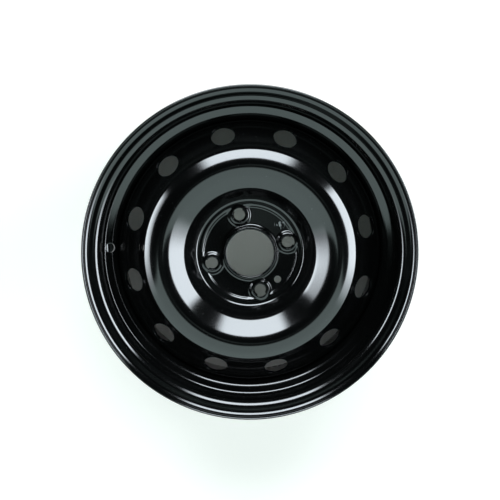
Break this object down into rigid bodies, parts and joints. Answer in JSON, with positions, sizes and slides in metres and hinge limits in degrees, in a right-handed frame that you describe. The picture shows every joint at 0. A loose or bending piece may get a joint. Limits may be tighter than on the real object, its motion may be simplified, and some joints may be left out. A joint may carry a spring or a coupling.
{
  "type": "steel wheel rim",
  "caption": "Pressed steel car wheel: drop-centre rim with curled flanges and a welded centre disc with bore collar, bolt bosses, bowl, crown and a ring of round vents.",
  "frame": {"origin": "on the wheel axis, at the lowest edge of the inboard flange, which the wheel lies on", "axes": "+Z along the wheel axis towards the outboard face; +X and +Y in the wheel plane, +Y at the top of the picture"},
  "size_m": [0.4148, 0.4146, 0.1809],
  "materials": {
    "rim_paint": "gloss black paint on rolled sheet steel",
    "disc_paint": "gloss black paint on pressed sheet steel",
    "weld_paint": "black paint over rippled weld metal"
  },
  "bodies": {
    "root": {"rim": "rim_paint", "disc": "disc_paint", "weld_beads": "weld_paint"}
  },
  "joints": []
}
